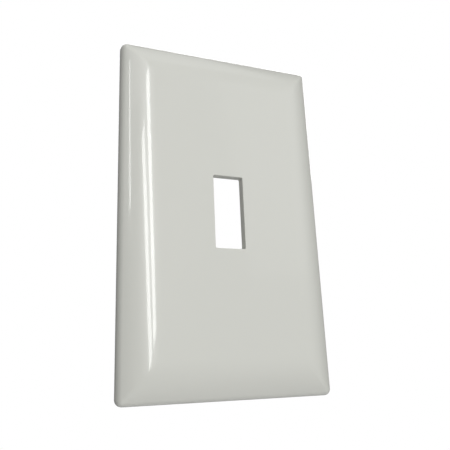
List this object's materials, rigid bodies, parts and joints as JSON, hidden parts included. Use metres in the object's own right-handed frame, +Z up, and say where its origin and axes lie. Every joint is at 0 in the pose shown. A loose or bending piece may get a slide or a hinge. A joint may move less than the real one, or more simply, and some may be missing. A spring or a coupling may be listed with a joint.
{
  "type": "wall plate cover",
  "caption": "Pillow-edged single-gang wall plate with a toggle opening: a snap-fit cover over a screwed mounting plate.",
  "frame": {"origin": "midway between the two plate screws, in the plane of the wall that the plate stands against", "axes": "+X to the right across the plate, +Y into the wall, +Z up the wall; the cover's face looks along -Y"},
  "size_m": [0.0698, 0.0163, 0.1142],
  "materials": {
    "cover_plastic": "glossy moulded thermoplastic",
    "mounting_plastic": "fine matt moulded thermoplastic",
    "zinc_steel": "bright zinc-plated steel"
  },
  "bodies": {
    "mounting_plate": {"mounting_plate": "mounting_plastic"},
    "cover": {"snap_cover": "cover_plastic"},
    "upper_screw": {"upper_screw": "zinc_steel"},
    "lower_screw": {"lower_screw": "zinc_steel"}
  },
  "joints": [
    {"name": "cover_pull", "type": "slide", "parent": "mounting_plate", "child": "cover", "axis": [0, -1, 0], "range_m": [0, 0.02]},
    {"name": "upper_screw_turn", "type": "hinge", "parent": "mounting_plate", "child": "upper_screw", "pos_m": [0, 0, 0.03016], "axis": [0, -1, 0], "continuous": true},
    {"name": "lower_screw_turn", "type": "hinge", "parent": "mounting_plate", "child": "lower_screw", "pos_m": [0, 0, -0.03016], "axis": [0, -1, 0], "continuous": true}
  ]
}
